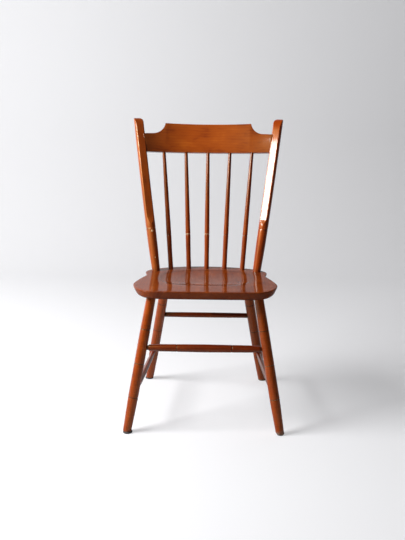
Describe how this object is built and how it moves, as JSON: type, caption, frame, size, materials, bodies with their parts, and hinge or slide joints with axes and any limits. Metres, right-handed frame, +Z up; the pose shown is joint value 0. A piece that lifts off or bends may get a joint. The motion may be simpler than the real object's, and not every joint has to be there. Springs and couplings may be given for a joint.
{
  "type": "spindle-back side chair",
  "caption": "Armless side chair of stained and lacquered maple: shaped seat, bent posts with planed flats, notched crest rail, turned spindles and splayed legs.",
  "frame": {"origin": "on the floor, under the middle of the chair's width and depth", "axes": "+X to the right seen from the front, +Y from front to back, +Z up"},
  "size_m": [0.4944, 0.5144, 0.9054],
  "materials": {
    "stained_maple_seat": "red-brown stain under glossy lacquer, rubbed on the arrises",
    "stained_maple_back": "red-brown stain under glossy lacquer, one post chipped at its ring",
    "stained_maple_turned": "red-brown stain under glossy lacquer, dark in the ring grooves, chipped to bare wood at some rings",
    "black_rubber": "scuffed matt rubber",
    "tan_rubber": "dirty matt rubber",
    "worn_steel": "dull, scratched"
  },
  "bodies": {
    "root": {"seat": "stained_maple_seat", "crest_rail": "stained_maple_back", "back_post_left": "stained_maple_back", "back_post_right": "stained_maple_back", "spindle_1": "stained_maple_turned", "spindle_2": "stained_maple_turned", "spindle_3": "stained_maple_turned", "spindle_4": "stained_maple_turned", "spindle_5": "stained_maple_turned", "front_left_leg": "stained_maple_turned", "front_right_leg": "stained_maple_turned", "rear_left_leg": "stained_maple_turned", "rear_right_leg": "stained_maple_turned", "front_stretcher": "stained_maple_turned", "rear_stretcher": "stained_maple_turned", "left_stretcher": "stained_maple_turned", "right_stretcher": "stained_maple_turned", "front_left_glide": "black_rubber", "rear_left_glide": "black_rubber", "rear_right_glide": "tan_rubber", "front_right_glide": "worn_steel"}
  },
  "joints": []
}
